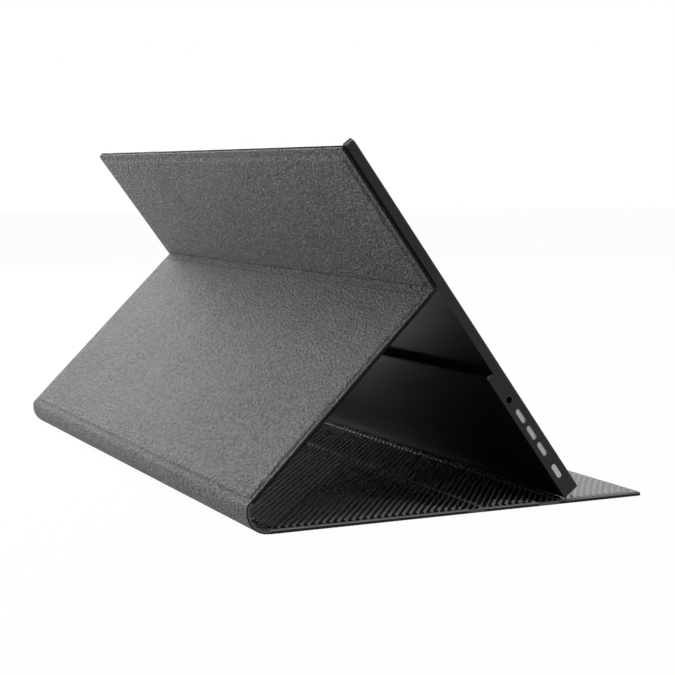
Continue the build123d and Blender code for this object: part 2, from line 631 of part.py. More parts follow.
    speaker_low = SHELL_WALL + FIT
    with BuildPart() as speakers:
        with BuildSketch(monitor_plane.offset(SHELL_BACK)):
            with Locations(*[(side * SPEAKER_X, speaker_low + SPEAKER_SIZE[1] / 2)
                             for side in (-1, 1)]):
                RectangleRounded(SPEAKER_SIZE[0], SPEAKER_SIZE[1], SPEAKER_RIDGE)
        extrude(amount=SPEAKER_SIZE[2])
    save(speakers.part, "speakers")

    cable_level = BOARD_FACE + CABLE_SHEET / 2
    cable_line = [
        (BOARD_Y - BOARD_SIZE[1] / 2 + BOARD_SCREW_INSET, cable_level),
        (SOURCE_BOARD_Y, cable_level),
        (SOURCE_BOARD_Y, SHELL_FRONT - FIT - SOURCE_BOARD[1]),
    ]
    cable_points = [(FOOT[0] + y * UP[0] + z * OUT[0], FOOT[1] + y * UP[1] + z * OUT[1])
                    for y, z in cable_line]
    with BuildPart() as display_cable:
        with BuildSketch(Plane.YZ.offset(BOARD_X + CABLE_OFFSET)):
            with BuildLine():
                FilletPolyline(*cable_points, radius=2 * CABLE_SHEET)
            trace(line_width=CABLE_SHEET)
        extrude(amount=CABLE_WIDTH)
    save(display_cable.part, "display_cable")


os.makedirs("parts", exist_ok=True)
make_cover()
make_rear_shell()
make_front()
make_electronics()
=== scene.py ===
from math import atan2, cos, hypot, pi, radians, sin

import bmesh
import bpy
import numpy as np
from mathutils import Matrix, Vector, noise


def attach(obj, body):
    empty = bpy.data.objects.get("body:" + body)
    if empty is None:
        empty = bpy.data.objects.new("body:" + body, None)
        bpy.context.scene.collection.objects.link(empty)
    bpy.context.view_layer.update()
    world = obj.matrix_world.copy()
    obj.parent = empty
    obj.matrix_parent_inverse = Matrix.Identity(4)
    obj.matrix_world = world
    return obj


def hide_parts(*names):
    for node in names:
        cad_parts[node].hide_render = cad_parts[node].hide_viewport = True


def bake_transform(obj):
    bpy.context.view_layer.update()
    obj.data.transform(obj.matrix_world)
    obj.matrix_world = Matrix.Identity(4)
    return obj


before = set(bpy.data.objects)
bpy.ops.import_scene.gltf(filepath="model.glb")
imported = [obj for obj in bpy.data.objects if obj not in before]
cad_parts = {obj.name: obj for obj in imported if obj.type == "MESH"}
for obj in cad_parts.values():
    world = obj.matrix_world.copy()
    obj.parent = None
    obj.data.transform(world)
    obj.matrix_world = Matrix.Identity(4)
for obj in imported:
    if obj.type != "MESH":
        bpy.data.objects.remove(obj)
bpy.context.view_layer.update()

# A portable monitor that stands in its folding cover. Sizes are millimetres and turn into metres
# where a mesh is made. X runs along the folds, -Y is the side that the screen faces.
MM = 0.001

# ---- Sizes that the part's source also has ---------------------------------------------------
MONITOR_WIDTH, MONITOR_HEIGHT = 356.0, 215.5
THIN_DEPTH, THICK_DEPTH = 5.1, 9.2
EDGE_BREAK = 0.5
COVER_DEPTH = 221.7
FLAT_SHEET, BOARD_SHEET, RAISED_SHEET = 0.6, 1.3, 0.7
RIM_DEPTH = 1.8
UPPER_RIM, STRUT_RIM, FRONT_RIM = (3.4, 3.0), (1.8, 2.5), (2.2, 1.8)
FOLD_INSET, BOARD_INSET, COVER_CORNER, FRONT_CORNER = 0.3, 1.0, 2.5, 0.8
SPINE_RADIUS, SPINE_SKIN, SPINE_HEIGHT, SPINE_BEND = 11.0, 1.0, 13.6, 2.5
FOOT_SETBACK, FOLD_HEIGHT = 46.9, 132.2
UPPER_TOP_SETBACK, UPPER_START = 0.8, 1.2
STRUT_START, STRUT_END = 4.2, 2.2
FRONT_1_END = 12.0
FRONT_CREASE_1, FRONT_CREASE_2 = (118.2, 8.8), (158.6, 12.5)
FOOT_CLEARANCE, HOLD_CLEARANCE = 0.3, 0.2
SOCKET_HEIGHTS, SOCKET_DEPTH = (51.6, 40.7, 29.9), 5.25

# ---- Sizes that only the looks need ----------------------------------------------------------
RIB_PITCH, RIB_WIDTH, RIB_HEIGHT, RIB_SINK = 3.05, 2.66, 0.42, 0.15
RIB_BASE = 0.32            # how far the sheet between the ribs lies under the panel's raised face
RIB_TURN = radians(-38.2)
LOW_RIB_HEIGHT = 0.34      # ribs on the spine and on the creases
LOW_RIB_BASE = 0.28
FOOT_SWELL, SWELL_REACH = 0.24, 1.6        # the lining swells up to the monitor's foot
CREASE_DEPTH, CREASE_REACH = 0.08, 0.6     # the pressed line round a board
UNEVENNESS = 0.05          # of the bonded skins
BOARD_CORNER = 2.2
EDGE_ROUND, FOLD_ROUND, THIN_ROUND, LINING_ROUND = 0.6, 0.5, 0.15, 0.35
SHEET_LAP = 0.005          # how far glued sheets reach into each other
SPLIT_PLAIN, SPLIT_LINED = 0.88, 1.35      # where skin and lining part at a free edge
EDGE_STEPS = (0.0, 0.04, 0.14, 0.3, 0.5, 0.8, 1.15, 1.5)
SHARP_TURN = radians(50)

PANEL_DEPTH = FLAT_SHEET + BOARD_SHEET + RAISED_SHEET
HALF_RIM = RIM_DEPTH / 2
HALF_WIDTH = MONITOR_WIDTH / 2
BACK_Y, FRONT_Y = COVER_DEPTH / 2, -COVER_DEPTH / 2
LEAN = radians(53.0)
UP = np.array((cos(LEAN), sin(LEAN)))
OUT = np.array((-sin(LEAN), cos(LEAN)))
FOOT = np.array((FRONT_Y + FOOT_SETBACK, PANEL_DEPTH + FOOT_CLEARANCE - EDGE_BREAK * cos(LEAN)))
FOLD = FOOT + FOLD_HEIGHT * UP + (THICK_DEPTH - THIN_DEPTH - HOLD_CLEARANCE - HALF_RIM) * OUT
SPINE_BEND_AT = np.array((BACK_Y - HALF_RIM, SPINE_HEIGHT))
STRUT_LENGTH = hypot(*(SPINE_BEND_AT - FOLD))
DOWN = (SPINE_BEND_AT - FOLD) / STRUT_LENGTH
STRUT_OUT = np.array((-DOWN[1], DOWN[0]))


# ---- Camera ----------------------------------------------------------------------------------
PHOTO_SIZE, FOCAL_LENGTH, PHOTO_CENTRE = 675, 1532.47, (307.22, 379.85)      # pixels
CAMERA_PLACE = Vector((-804.28, 381.30, 162.82)) * MM


def make_camera():
    """The camera that took the photograph, found from the monitor's and the cover's corners."""
    yaw, pitch, roll = radians(25.64), radians(-7.57), radians(0.278)
    ahead = Vector((cos(pitch) * cos(yaw), -cos(pitch) * sin(yaw), sin(pitch)))
    right = ahead.cross(Vector((0, 0, 1))).normalized()
    above = right.cross(ahead)
    rolled_right = cos(roll) * right + sin(roll) * above
    rolled_above = cos(roll) * above - sin(roll) * right
    data = bpy.data.cameras.new("photo_camera")
    data.sensor_width = 36.0
    data.lens = FOCAL_LENGTH * data.sensor_width / PHOTO_SIZE
    data.shift_x = (PHOTO_SIZE / 2 - PHOTO_CENTRE[0]) / PHOTO_SIZE
    data.shift_y = (PHOTO_CENTRE[1] - PHOTO_SIZE / 2) / PHOTO_SIZE
    data.clip_start, data.clip_end = 0.01, 20
    camera = bpy.data.objects.new("photo_camera", data)
    bpy.context.scene.collection.objects.link(camera)
    turn = Matrix((rolled_right, rolled_above, -ahead)).transposed().to_4x4()
    camera.matrix_world = Matrix.Translation(CAMERA_PLACE) @ turn
    bpy.context.scene.camera = camera


make_camera()


# ---- Finishes --------------------------------------------------------------------------------
class Value:
    """A number or vector that changes over a surface, so that sums on it read as sums."""

    def __init__(self, finish, socket):
        self.finish, self.socket = finish, socket

    def math(self, operation, *others):
        return self.finish.node("ShaderNodeMath", {"operation": operation},
                                dict(enumerate((self, *others))))

    def __add__(self, other):
        return self.math("ADD", other)

    def __sub__(self, other):
        return self.math("SUBTRACT", other)

    def __rsub__(self, other):
        return self.finish.node("ShaderNodeMath", {"operation": "SUBTRACT"}, {0: other, 1: self})

    def __mul__(self, other):
        return self.math("MULTIPLY", other)

    def __truediv__(self, other):
        return self.math("DIVIDE", other)

    __radd__, __rmul__ = __add__, __mul__


class Finish:
    """A material under construction, or the world's light."""

    def __init__(self, name, world=None):
        self.material = world or bpy.data.materials.new(name)
        self.material.use_nodes = True
        self.nodes = self.material.node_tree.nodes
        self.links = self.material.node_tree.links
        self.nodes.clear()

    def node(self, kind, settings=None, sockets=None, out=0):
        """Adds a node: its settings first, then the values or links of its sockets."""
        made = self.nodes.new(kind)
        for key, value in (settings or {}).items():
            if key == "stops":
                ramp = made.color_ramp.elements
                while len(ramp) < len(value):
                    ramp.new(1.0)
                for stop, (position, level) in zip(ramp, value):
                    stop.position, stop.color = position, (level, level, level, 1)
            else:
                setattr(made, key, value)
        for key, value in (sockets or {}).items():
            if isinstance(value, Value):
                self.links.new(value.socket, made.inputs[key])
            else:
                made.inputs[key].default_value = value
        return Value(self, made.outputs[out]) if made.outputs else None

    def place(self, stretch=(1, 1, 1)):
        """Object coordinates in millimetres, stretched."""
        where = self.node("ShaderNodeTexCoord", {}, {}, "Object")
        return self.node("ShaderNodeMapping", {}, {
            "Vector": where, "Scale": [1000 * share for share in stretch]})

    def noise(self, where, scale, detail=3.0, roughness=0.55, distortion=0.0):
        return self.node("ShaderNodeTexNoise", {}, {
            "Vector": where, "Scale": scale, "Detail": detail, "Roughness": roughness,
            "Distortion": distortion})

    def cells(self, where, scale, feature="DISTANCE_TO_EDGE"):
        return self.node("ShaderNodeTexVoronoi", {"feature": feature},
                         {"Vector": where, "Scale": scale}, "Distance")

    def ramp(self, value, *stops):
        return self.node("ShaderNodeValToRGB", {"stops": stops}, {"Fac": value})

    def mix(self, share, low, high):
        """A colour between two colours, each given or linked."""
        low, high = (colour if isinstance(colour, Value) else (*colour, 1)
                     for colour in (low, high))
        return self.node("ShaderNodeMix", {"data_type": "RGBA"}, {0: share, 6: low, 7: high}, 2)

    def spread(self, share, tone, below, above):
        """A tone that varies between two shares of itself."""
        return self.mix(share, [below * t for t in tone], [above * t for t in tone])

    def painted(self, label):
        """A share that the mesh carries."""
        return self.node("ShaderNodeAttribute", {"attribute_name": label}, {}, "Fac")

    def bump(self, height, depth):
        """A Bump node; depth is in millimetres."""
        return self.node("ShaderNodeBump", {}, {
            "Height": height, "Distance": depth * MM, "Strength": 1.0})

    def surface(self, **sockets):
        """The Principled surface that ends the material."""
        named = {key.replace("_", " "): value for key, value in sockets.items()}
        shader = self.node("ShaderNodeBsdfPrincipled", {}, named)
        self.node("ShaderNodeOutputMaterial", {}, {"Surface": shader})
        return self.material


def leather(name, tone, grain=1.0, specular=0.22):
    """Grained synthetic leather with a dark painted edge, which is edge paint and painted shade:
    domed pebbles with creases between them.
    """
    finish = Finish(name)
    where = finish.place()
    drift = finish.noise(where, 0.4, 2.0)
    bent = finish.node("ShaderNodeVectorMath", {"operation": "MULTIPLY_ADD"},
                       {0: drift, 1: (1.8, 1.8, 1.8), 2: where})
    pebbles = finish.ramp(finish.cells(bent, 0.5), (0.0, 0.0), (0.2, 0.75), (0.45, 1.0))
    folds = finish.noise(bent, 0.55, 3.0, 0.6, 0.6)
    pores = finish.noise(where, 1.6, 2.0, 0.6)
    height = pebbles * 0.6 + folds * 1.3 + pores * 0.3
    cloud = finish.noise(where, 0.02, 2.0)
    # Colour follows the relief: the grain's own tone, and painted shade that darkens the creases
    # between the pebbles and folds.
    share = (pebbles * 0.25 + finish.ramp(folds, (0.36, 0.0), (0.64, 1.0)) * 0.6
             + (cloud - 0.5) * 0.3 + 0.08)
    skin = finish.spread(share, tone, 1 - 0.6 * grain, 1 + 0.65 * grain)
    return finish.surface(
        # Near black where painted: edge paint and painted shade.
        Base_Color=finish.mix(finish.painted("painted_edge"), skin, [0.03 * t for t in tone]),
        Roughness=0.62 - 0.14 * pebbles,
        Specular_IOR_Level=specular,
        Normal=finish.bump(height, 1.6 * grain),
    )


def ribbed_lining(name, crest_tone, painted_sheen_tone):
    """The lining: smooth dark crests on its ribs, and a paler matt tone between them, which is
    painted sheen.
    """
    finish = Finish(name)
    where = finish.place()
    nap = finish.noise(where, 4.5, 2.0, 0.6)
    cloud = finish.noise(where, 0.05, 2.0)
    share = nap * 0.5 + cloud * 0.5
    crest = finish.ramp(finish.painted("crest"), (0.35, 0.0), (0.85, 1.0))
    # Paler between the crests: painted sheen.
    bare = finish.mix(crest, finish.spread(share, painted_sheen_tone, 0.8, 1.2),
                      finish.spread(share, crest_tone, 0.8, 1.2))
    return finish.surface(
        # Near black where painted: painted shade, with edge paint along the side edges.
        Base_Color=finish.mix(finish.painted("painted_edge"), bare, (0.005, 0.005, 0.005)),
        Roughness=0.7 - 0.56 * crest + 0.1 * nap,
        Specular_IOR_Level=1.0,
        Normal=finish.bump(nap, 0.006),
    )


def moulded(name, tone, rough, texture, scale):
    """Moulded plastic with a fine spark-eroded texture."""
    finish = Finish(name)
    where = finish.place()
    fine = finish.noise(where, scale, 3.0, 0.6)
    cloud = finish.noise(where, 0.03, 2.0)
    return finish.surface(
        Base_Color=finish.spread(fine * 0.4 + cloud * 0.6, tone, 0.85, 1.15),
        Roughness=rough + 0.12 * (fine - 0.5),
        Normal=finish.bump(fine, texture),
    )


def metal(name, tone, rough, stretch=(1, 1, 1)):
    """Plated or brushed metal, with its marks along one direction."""
    finish = Finish(name)
    marks = finish.noise(finish.place(stretch), 2.0, 3.0, 0.6)
    return finish.surface(
        Base_Color=finish.spread(marks, tone, 0.85, 1),
        Metallic=1.0,
        Roughness=rough + 0.15 * (marks - 0.5),
        Normal=finish.bump(marks, 0.008),
    )


def fibre(name, tone):
    """Pressed grey fibreboard."""
    finish = Finish(name)
    where = finish.place((1, 1, 3))
    strands = finish.noise(where, 1.2, 4.0, 0.7, 1.5)
    return finish.surface(
        Base_Color=finish.spread(strands, tone, 0.7, 1),
        Roughness=0.8 + 0.1 * strands,
        Normal=finish.bump(strands, 0.05),
    )


def circuit_board(name):
    """Solder mask over copper tracks."""
    finish = Finish(name)
    where = finish.place()
    tracks = finish.node("ShaderNodeTexBrick", {"offset": 0.37, "squash": 0.6}, {
        "Vector": where, "Scale": 0.35, "Mortar Size": 0.02, "Brick Width": 1.7,
        "Row Height": 0.35}, "Fac")
    grain = finish.noise(where, 2.0)
    share = tracks * 0.7 + grain * 0.3
    return finish.surface(
        Base_Color=finish.mix(share, (0.004, 0.045, 0.022), (0.012, 0.12, 0.06)),
        Roughness=0.3 + 0.2 * grain,
        Normal=finish.bump(share, 0.03),
    )


def clear_sheet(name, tone, rough):
    """A diffusing film or light guide: milky, with a fine dot pattern."""
    finish = Finish(name)
    where = finish.place()
    dots = finish.ramp(finish.cells(where, 0.8, "F1"), (0.0, 1.0), (0.35, 0.0))
    cloud = finish.noise(where, 0.05)
    return finish.surface(
        Base_Color=finish.spread(dots * 0.6 + cloud * 0.4, tone, 0.88, 1),
        Roughness=rough + 0.1 * dots,
        Normal=finish.bump(dots, 0.01),
    )


def display_glass(name):
    """The switched-off display: a dark cell under a lightly etched anti-glare film."""
    finish = Finish(name)
    where = finish.place()
    etch = finish.noise(where, 9.0, 2.0, 0.7)
    cloud = finish.noise(where, 0.01, 1.0)
    return finish.surface(
        Base_Color=finish.mix(cloud, (0.004, 0.0045, 0.006), (0.008, 0.009, 0.012)),
        Roughness=0.16 + 0.1 * etch,
        Normal=finish.bump(etch, 0.002),
    )


def shell_finish(name):
    """The monitor's shell: near-black satin lacquer with a soft sheen."""
    finish = Finish(name)
    where = finish.place()
    peel = finish.noise(where, 0.7, 2.0)
    spark = finish.noise(where, 5.0, 2.0, 0.7)
    return finish.surface(
        Base_Color=finish.mix(spark, (0.0045, 0.0045, 0.005), (0.0075, 0.0075, 0.008)),
        Roughness=0.23 + 0.14 * spark,
        Specular_IOR_Level=0.27,
        Normal=finish.bump(peel * 0.5 + spark * 0.5, 0.01),
    )


LEATHER = leather("grained_leather", (0.08, 0.08, 0.082), 1.3)
# The lining's pale tone between the crests is painted sheen.
LINING = ribbed_lining("ribbed_lining", (0.012, 0.012, 0.0125), (0.2, 0.2, 0.203))
FLAT_LINING = leather("smooth_lining", (0.014, 0.014, 0.0145), 0.3, 0.06)

NODE_FINISHES = {
    "rear_shell": shell_finish("shell_lacquer"),
    "front_bezel": moulded("bezel_plastic", (0.014, 0.014, 0.015), 0.38, 0.02, 4.0),
    "lcd_panel": display_glass("display_glass"),
    "optical_films": clear_sheet("diffuser_film", (0.82, 0.83, 0.84), 0.45),
    "light_guide": clear_sheet("light_guide_acrylic", (0.72, 0.76, 0.78), 0.12),
    "reflector": clear_sheet("reflector_film", (0.86, 0.86, 0.85), 0.3),
    "backlight_tray": metal("tray_aluminium", (0.62, 0.63, 0.64), 0.35, (0.05, 1, 1)),
    "panel_pads": moulded("foam_tape", (0.03, 0.03, 0.032), 0.85, 0.1, 1.2),
    "monitor_magnets": metal("magnet_nickel", (0.55, 0.54, 0.51), 0.22),
    "upper_magnets": metal("cover_magnet_nickel", (0.55, 0.54, 0.51), 0.22),
    "flap_magnets": metal("flap_magnet_nickel", (0.55, 0.54, 0.51), 0.22),
    "led_strip": circuit_board("led_strip_mask"),
    "source_board": circuit_board("source_board_mask"),
    "main_board": circuit_board("main_board_mask"),
    "board_chips": moulded("chip_epoxy", (0.018, 0.018, 0.019), 0.5, 0.01, 6.0),
    "shield_can": metal("shield_tin", (0.66, 0.66, 0.64), 0.3, (0.2, 1, 1)),
    "board_screws": metal("screw_steel", (0.45, 0.45, 0.46), 0.3),
    "usb_sockets": metal("socket_steel", (0.08, 0.08, 0.083), 0.4, (1, 1, 0.2)),
    "usb_tongues": moulded("socket_insulator", (0.46, 0.46, 0.47), 0.45, 0.01, 5.0),
    "audio_jack": moulded("jack_plastic", (0.012, 0.012, 0.013), 0.3, 0.01, 5.0),
    "status_light": clear_sheet("light_pipe", (0.006, 0.006, 0.007), 0.5),
    "power_button": moulded("button_plastic", (0.76, 0.76, 0.77), 0.38, 0.01, 4.0),
    "button_switch": metal("switch_steel", (0.6, 0.6, 0.58), 0.3),
    "speakers": moulded("speaker_plastic", (0.02, 0.02, 0.021), 0.5, 0.03, 2.0),
    "display_cable": moulded("cable_film", (0.35, 0.16, 0.03), 0.35, 0.02, 1.0),
    "upper_board": fibre("upper_fibreboard", (0.2, 0.19, 0.17)),
    "strut_board": fibre("strut_fibreboard", (0.2, 0.19, 0.17)),
    "front_board_1": fibre("front_fibreboard_1", (0.2, 0.19, 0.17)),
    "front_board_2": fibre("front_fibreboard_2", (0.2, 0.19, 0.17)),
    "front_board_3": fibre("front_fibreboard_3", (0.2, 0.19, 0.17)),
}
for node, material in NODE_FINISHES.items():
    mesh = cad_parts[node].data
    mesh.materials.clear()
    mesh.materials.append(material)


# ---- Sheets of the cover ---------------------------------------------------------------------
class Run:
    """A line in Y and Z that a sheet follows; heights are measured to its left or its right."""

    def __init__(self, points, radii=(), side=1):
        points = [np.array(p, float) for p in points]
        heads = [atan2(*(b - a)[::-1]) for a, b in zip(points, points[1:])]
        track, angle = [points[0]], [heads[0]]
        for corner, radius, before, after in zip(points[1:], radii, heads, heads[1:]):
            turn = after - before
            reach = radius * np.tan(abs(turn) / 2)
            start = corner - reach * np.array((cos(before), sin(before)))
            left = np.sign(turn) * radius
            centre = start + left * np.array((-sin(before), cos(before)))
            for share in np.linspace(0, 1, 25):
                at = before + share * turn
                track.append(centre - left * np.array((-sin(at), cos(at))))
                angle.append(at)
        track.append(points[-1])
        angle.append(heads[-1])
        self.track, self.angle = np.array(track), np.array(angle)
        steps = np.hypot(*np.diff(self.track, axis=0).T)
        self.reach = np.concatenate(([0], np.cumsum(steps)))
        self.length, self.side = self.reach[-1], side

    def place(self, x, along, height):
        """Points of the sheet, in metres."""
        y = np.interp(along, self.reach, self.track[:, 0])
        z = np.interp(along, self.reach, self.track[:, 1])
        angle = np.interp(along, self.reach, self.angle)
        y = y - self.side * height * np.sin(angle)
        z = z + self.side * height * np.cos(angle)
        return np.stack((x, y, z), -1) * MM


def stations(low, high, low_fine, high_fine, coarse):
    """Places of a grid's lines: given fine distances at both ends and even steps between."""
    start, stop = low + low_fine[-1], high - high_fine[-1]
    count = max(1, round((stop - start) / coarse))
    return np.concatenate((low + np.array(low_fine[:-1]), np.linspace(start, stop, count + 1),
                           high - np.array(high_fine[-2::-1])))


def ease(share):
    """A smooth step from 0 to 1."""
    share = np.clip(share, 0, 1)
    return share * share * (3 - 2 * share)


def rounding(distance, radius):
    """How far a rounded edge drops at a distance inside the outline."""
    inside = np.clip(radius - distance, 0, radius)
    return radius - np.sqrt(radius * radius - inside * inside)


def wrinkle(x, along, seed):
    """The slight unevenness of a bonded skin, in waves of 30 to 38 mm."""
    rough = np.array([noise.noise(Vector((a / 38 + seed, b / 30, seed))) for a, b
                      in zip(x.ravel(), along.ravel())])
    return UNEVENNESS * rough.reshape(x.shape)


def mesh_object(name, points, faces, material, painted):
    """A closed mesh, with how dark each point is painted, as edge paint and painted shade."""
    mesh = bpy.data.meshes.new(name)
    mesh.from_pydata([tuple(p) for p in points], [], faces)
    mesh.materials.append(material)
    mesh.attributes.new("painted_edge", "FLOAT", "POINT").data.foreach_set("value", painted)
    mesh.attributes.new("crest", "FLOAT", "POINT")
    piece = bpy.data.objects.new(name, mesh)
    bpy.context.scene.collection.objects.link(piece)
    shape = bmesh.new()
    shape.from_mesh(mesh)
    bmesh.ops.remove_doubles(shape, verts=shape.verts, dist=1e-7)
    bmesh.ops.recalc_face_normals(shape, faces=shape.faces)
    for face in shape.faces:
        face.smooth = True
    for edge in shape.edges:
        if len(edge.link_faces) == 2 and edge.calc_face_angle(0) > SHARP_TURN:
            edge.smooth = False
    shape.to_mesh(mesh)
    shape.free()
    return piece


def closed_sheet(name, run, xs, along, top, bottom, material, corners=(), dark=None):
    """A closed sheet over a grid; top and bottom give its heights, corners its rounded ends
    and dark where it is painted dark, with edge paint and painted shade, which is along its edge
    unless said."""
    x, s = np.meshgrid(xs, along, indexing="ij")
    reach = HALF_WIDTH - np.abs(x)
    flat_x, flat_s = x, s
    for end, inward, radius in corners:
        reach = np.minimum(reach, (s - end) * inward)
        for side in (-1, 1):
            px = (side * x - HALF_WIDTH + radius) / radius
            ps = ((end - s) * inward + radius) / radius
            inside = (px > 0) & (ps > 0)
            far = np.maximum(px, ps) / np.maximum(np.hypot(px, ps), 1e-9)
            corner_x = side * (HALF_WIDTH - radius + radius * px * far)
            corner_s = end + inward * radius * (1 - ps * far)
            flat_x = np.where(inside, corner_x, flat_x)
            flat_s = np.where(inside, corner_s, flat_s)
    # How dark it is painted: edge paint and painted shade along the edge, unless dark gives painted
    # shade.
    painted = dark(x, s) if dark else 1 - ease((reach - 0.25) / 0.4)
    painted = np.tile(painted, (2, 1, 1)).ravel()
    points = [run.place(flat_x, flat_s, height(x, s)).reshape(-1, 3) for height in (top, bottom)]
    rows, columns = x.shape
    layer = rows * columns
    grid = np.arange(layer).reshape(rows, columns)
    faces = []
    for i in range(rows - 1):
        for j in range(columns - 1):
            quad = grid[i, j], grid[i + 1, j], grid[i + 1, j + 1], grid[i, j + 1]
            faces.append([int(q) for q in quad])
            faces.append([int(q) + layer for q in quad])
    rim = ([(i, 0) for i in range(rows)] + [(rows - 1, j) for j in range(1, columns)]
           + [(i, columns - 1) for i in range(rows - 2, -1, -1)]
           + [(0, j) for j in range(columns - 2, 0, -1)])
    for a, b in zip(rim, rim[1:] + rim[:1]):
        first, second = int(grid[a]), int(grid[b])
        faces.append([first, second, second + layer, first + layer])
    return mesh_object(name, np.concatenate(points), faces, material, painted)


class Panel:
    """One stiff panel of the cover: its run, its extent, its rim and slope, and its free ends.
    A lined panel shows the lining on its raised face. At a fold the slope is steep times as
    steep, and foot is where the monitor's bottom edge stands."""

    def __init__(self, run, low, high, edge, free_low=False, free_high=False, seed=0.0,
                 lined=False, foot=None, steep=1.0):
        self.run, self.low, self.high, self.lined, self.foot = run, low, high, lined, foot
        self.face = PANEL_DEPTH - (RIB_BASE if lined else 0)
        self.rim, self.slope = edge
        self.free_low, self.free_high, self.seed, self.steep = free_low, free_high, seed, steep
        self.rise_low = low + (self.rim if free_low else FOLD_INSET)
        self.rise_high = high - (self.rim if free_high else FOLD_INSET)
        self.rise_x = HALF_WIDTH - self.rim

    def corners(self):
        """The rounded ends, each with its direction inward and its radius."""
        return ([(self.low, 1, FRONT_CORNER)] if self.free_low else []) + (
            [(self.high, -1, COVER_CORNER)] if self.free_high else [])

    def to_edge(self, x, s):
        """Distance inside the free edges."""
        reach = HALF_WIDTH - np.abs(x)
        if self.free_low:
            reach = np.minimum(reach, s - self.low)
        if self.free_high:
            reach = np.minimum(reach, self.high - s)
        return reach

    def to_board(self, x, s):
        """Distance inside the foot of the slope, rounded at its corners."""
        across = self.rise_x - np.abs(x)
        along = np.minimum((s - self.rise_low) * (1 if self.free_low else self.steep),
                           (self.rise_high - s) * (1 if self.free_high else self.steep))
        both = np.hypot(np.clip(BOARD_CORNER - across, 0, None),
                        np.clip(BOARD_CORNER - along, 0, None))
        return np.where((across < BOARD_CORNER) & (along < BOARD_CORNER), BOARD_CORNER - both,
                        np.minimum(across, along))

    def raised(self, x, s):
        """Height of the raised face: the rim, a pressed crease, the slope and the board."""
        inside = self.to_board(x, s)
        height = RIM_DEPTH + (self.face - RIM_DEPTH) * ease(inside / self.slope)
        height = height - CREASE_DEPTH * np.exp(-(inside / CREASE_REACH) ** 2)
        level = ease(inside / (3 * self.slope))
        height = height + level * wrinkle(x, s, self.seed)
        if self.foot:
            swell = PANEL_DEPTH + FOOT_SWELL - self.face
            height = height + level * swell * np.exp(-((s - self.foot) / SWELL_REACH) ** 2)
        return height - rounding(self.to_edge(x, s), THIN_ROUND if self.lined else EDGE_ROUND)

    def painted_shade(self, x, s):
        """How dark the lining is painted, as painted shade: along the monitor's foot, and at the
        panel's end behind it.
        """
        if not self.foot:
            return np.zeros(s.shape)
        by_foot = np.exp(-((s - self.foot - 2) / 4) ** 2)
        by_end = 1 - ease((self.high - s - 2.4) / 0.8)
        return np.maximum(by_foot, by_end)

    def crests(self, x, s):
        """Height at which ribs of the full height begin."""
        crest = np.minimum(self.raised(x, s) + PANEL_DEPTH - self.face, PANEL_DEPTH + FOOT_SWELL)
        return crest - RIB_HEIGHT

    def grid(self):
        """Places of the sheets' grid lines, across and along."""
        fine = self.rim + self.slope
        steps = EDGE_STEPS + tuple(np.arange(1.85, fine + 1.4, 0.35))
        fold = (0.0, 0.15, 0.3, 0.5) + tuple(np.arange(0.85, self.slope + 1.5, 0.35))
        xs = stations(-HALF_WIDTH, HALF_WIDTH, steps, steps, 5.0)
        along = stations(self.low, self.high, steps if self.free_low else fold,
                         steps if self.free_high else fold, 0.8 if self.foot else 5.0)
        return xs, along

    def sheets(self, raised_name, flat_name, raised_material, flat_material):
        """The raised sheet and the flat sheet, as two closed pieces."""
        xs, along = self.grid()
        edge_split = SPLIT_LINED if self.lined else SPLIT_PLAIN
        board_low, board_high = self.rise_low + BOARD_INSET, self.rise_high - BOARD_INSET
        board_x = self.rise_x - BOARD_INSET

        def split(x, s):
            return FLAT_SHEET + (edge_split - FLAT_SHEET) * (1 - ease(self.to_edge(x, s) / 1.2))

        def under(x, s):
            room = np.minimum(board_x - np.abs(x), np.minimum(s - board_low, board_high - s))
            return split(x, s) + BOARD_SHEET * (room >= 0)

        def flat_low(x, s):
            return rounding(self.to_edge(x, s), THIN_ROUND)

        # A lined raised sheet carries the panel's painted shade.
        raised = closed_sheet(raised_name, self.run, xs, along, self.raised, under,
                              raised_material, self.corners(),
                              self.painted_shade if self.lined else None)
        flat = closed_sheet(flat_name, self.run, xs, along,
                            lambda x, s: split(x, s) - SHEET_LAP, flat_low,
                            flat_material, self.corners())
        return raised, flat


upper_start = FOLD + HALF_RIM * OUT
upper_run = Run([upper_start, upper_start + 90 * UP], side=-1)
strut_start = FOLD - HALF_RIM * STRUT_OUT
strut_run = Run([strut_start, strut_start + (STRUT_LENGTH + 2) * DOWN])
front_run = Run([(FRONT_Y - 5, 0), (BACK_Y + 5, 0)])
FRONT_ZERO = 5 - FRONT_Y             # how far along the front run y = 0 lies

upper = Panel(upper_run, UPPER_START, MONITOR_HEIGHT - FOLD_HEIGHT - UPPER_TOP_SETBACK,
              UPPER_RIM, free_high=True, seed=1.7, steep=1.6)
strut = Panel(strut_run, STRUT_START, STRUT_LENGTH - STRUT_END, STRUT_RIM, seed=4.1, steep=1.8)
crease_1 = (BACK_Y - FRONT_CREASE_1[0] - FRONT_CREASE_1[1], BACK_Y - FRONT_CREASE_1[0])
crease_2 = (BACK_Y - FRONT_CREASE_2[0] - FRONT_CREASE_2[1], BACK_Y - FRONT_CREASE_2[0])
front = [
    Panel(front_run, FRONT_ZERO + crease_1[1], FRONT_ZERO + BACK_Y - FRONT_1_END, FRONT_RIM,
          seed=7.3, lined=True),
    Panel(front_run, FRONT_ZERO + crease_2[1], FRONT_ZERO + crease_1[0], FRONT_RIM,
          seed=9.9, lined=True, steep=2.4),
    Panel(front_run, FRONT_ZERO + FRONT_Y, FRONT_ZERO + crease_2[0], FRONT_RIM, free_low=True,
          seed=12.2, lined=True, steep=3.5, foot=FRONT_ZERO + FOOT[0] - 0.3),
]


